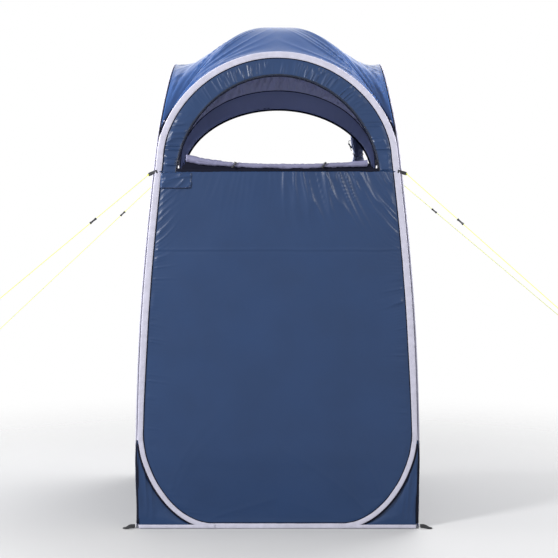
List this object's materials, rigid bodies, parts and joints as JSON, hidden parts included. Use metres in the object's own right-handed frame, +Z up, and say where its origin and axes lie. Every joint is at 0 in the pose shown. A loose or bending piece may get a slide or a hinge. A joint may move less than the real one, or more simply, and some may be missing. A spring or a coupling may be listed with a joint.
{
  "type": "privacy shower tent",
  "caption": "Square pop-up privacy shower tent with sprung wall frames, domed roof, arched window, tied-back door and guylines.",
  "frame": {"origin": "on the floor at the centre of the square base", "axes": "+Z up, front wall with the window at -Y, doorway at +Y, +X to the right seen from the front"},
  "size_m": [3.093, 1.9496, 2.1649],
  "materials": {
    "polyester": "satin",
    "binding_tape": "matte",
    "spring_steel": "satin",
    "zip_metal": "gloss",
    "zip_tape": "matte",
    "toggle_plastic": "satin",
    "lining": "satin",
    "guyline_cord": "matte",
    "runner_plastic": "satin",
    "fibreglass": "gloss",
    "webbing": "matte"
  },
  "bodies": {
    "left_wall": {"left_panel": "polyester", "left_hoop": "spring_steel", "left_sleeve": "binding_tape", "left_gusset_a": "polyester", "left_gusset_b": "polyester", "left_peg_loop_a": "webbing", "left_peg_loop_b": "webbing", "guy_tab_front_left": "webbing", "guy_tab_rear_left": "webbing", "guyline_front_left": "guyline_cord", "guyline_rear_left": "guyline_cord", "roof_front": "polyester", "roof_rear": "polyester", "roof_left": "polyester", "roof_right": "polyester", "roof_pole_a": "fibreglass", "roof_pole_b": "fibreglass", "pole_pocket_front_left": "webbing", "pole_pocket_rear_left": "webbing", "hanging_tab": "webbing"},
    "front_wall": {"front_panel": "polyester", "front_hoop": "spring_steel", "front_sleeve": "binding_tape", "front_gusset_a": "polyester", "front_gusset_b": "polyester", "front_window_zip": "zip_tape", "front_window_cover": "lining", "front_toggle_a": "toggle_plastic", "front_toggle_b": "toggle_plastic", "front_patch": "polyester"},
    "rear_wall": {"rear_panel": "polyester", "rear_hoop": "spring_steel", "rear_sleeve": "binding_tape", "rear_gusset_a": "polyester", "rear_gusset_b": "polyester", "doorway_zip": "zip_tape"},
    "right_wall": {"right_panel": "polyester", "right_hoop": "spring_steel", "right_sleeve": "binding_tape", "right_gusset_a": "polyester", "right_gusset_b": "polyester", "right_peg_loop_a": "webbing", "right_peg_loop_b": "webbing", "guy_tab_front_right": "webbing", "guy_tab_rear_right": "webbing", "guyline_front_right": "guyline_cord", "guyline_rear_right": "guyline_cord", "pole_pocket_front_right": "webbing", "pole_pocket_rear_right": "webbing"},
    "door": {"door_bundle": "polyester", "door_toggle": "toggle_plastic"},
    "door_zip_slider": {"door_zip_slider": "zip_metal"},
    "front_zip_slider_a": {"front_zip_slider_a": "zip_metal"},
    "front_zip_slider_b": {"front_zip_slider_b": "zip_metal"},
    "runner_front_left": {"runner_front_left": "runner_plastic"},
    "runner_rear_left": {"runner_rear_left": "runner_plastic"},
    "runner_front_right": {"runner_front_right": "runner_plastic"},
    "runner_rear_right": {"runner_rear_right": "runner_plastic"}
  },
  "joints": [
    {"name": "fold_front_left", "type": "hinge", "parent": "left_wall", "child": "front_wall", "pos_m": [-0.604, -0.604, 0], "axis": [0.0608, 0.0608, 0.9963], "range_deg": [0, 88], "deforming": ["roof_front", "roof_rear", "roof_left", "roof_right", "roof_pole_a", "roof_pole_b", "hanging_tab", "pole_pocket_front_left", "pole_pocket_rear_left", "pole_pocket_front_right", "pole_pocket_rear_right"]},
    {"name": "fold_rear_left", "type": "hinge", "parent": "left_wall", "child": "rear_wall", "pos_m": [-0.604, 0.604, 0], "axis": [0.0608, -0.0608, 0.9963], "range_deg": [0, 88]},
    {"name": "fold_front_right", "type": "hinge", "parent": "front_wall", "child": "right_wall", "pos_m": [0.604, -0.604, 0], "axis": [-0.0608, 0.0608, 0.9963], "range_deg": [-88, 0]},
    {"name": "door_swing", "type": "hinge", "parent": "rear_wall", "child": "door", "pos_m": [0.466, 0.61399, 0.00024], "axis": [0, 0.0609, -0.9981], "range_deg": [0, 90]},
    {"name": "door_zip", "type": "slide", "parent": "rear_wall", "child": "door_zip_slider", "axis": [0, -0.0609, 0.9981], "range_m": [0, 0.95]},
    {"name": "front_zip_a", "type": "hinge", "parent": "front_wall", "child": "front_zip_slider_a", "pos_m": [0, -0.51989, 1.47725], "axis": [0, 0.9981, -0.0609], "range_deg": [0, 76]},
    {"name": "front_zip_b", "type": "hinge", "parent": "front_wall", "child": "front_zip_slider_b", "pos_m": [0, -0.51989, 1.47725], "axis": [0, -0.9981, 0.0609], "range_deg": [0, 76]},
    {"name": "runner_front_left_slide", "type": "slide", "parent": "left_wall", "child": "runner_front_left", "axis": [-0.6845, -0.4107, -0.6023], "range_m": [-0.15, 0.25]},
    {"name": "runner_rear_left_slide", "type": "slide", "parent": "left_wall", "child": "runner_rear_left", "axis": [-0.6845, 0.4107, -0.6023], "range_m": [-0.15, 0.25]},
    {"name": "runner_front_right_slide", "type": "slide", "parent": "right_wall", "child": "runner_front_right", "axis": [0.669, -0.4014, -0.6255], "range_m": [-0.15, 0.25]},
    {"name": "runner_rear_right_slide", "type": "slide", "parent": "right_wall", "child": "runner_rear_right", "axis": [0.7105, 0.4263, -0.5599], "range_m": [-0.15, 0.25]}
  ],
  "couplings": [
    {"joint": "fold_rear_left", "follows": "fold_front_left", "ratio": 1},
    {"joint": "fold_front_right", "follows": "fold_front_left", "ratio": -1}
  ]
}
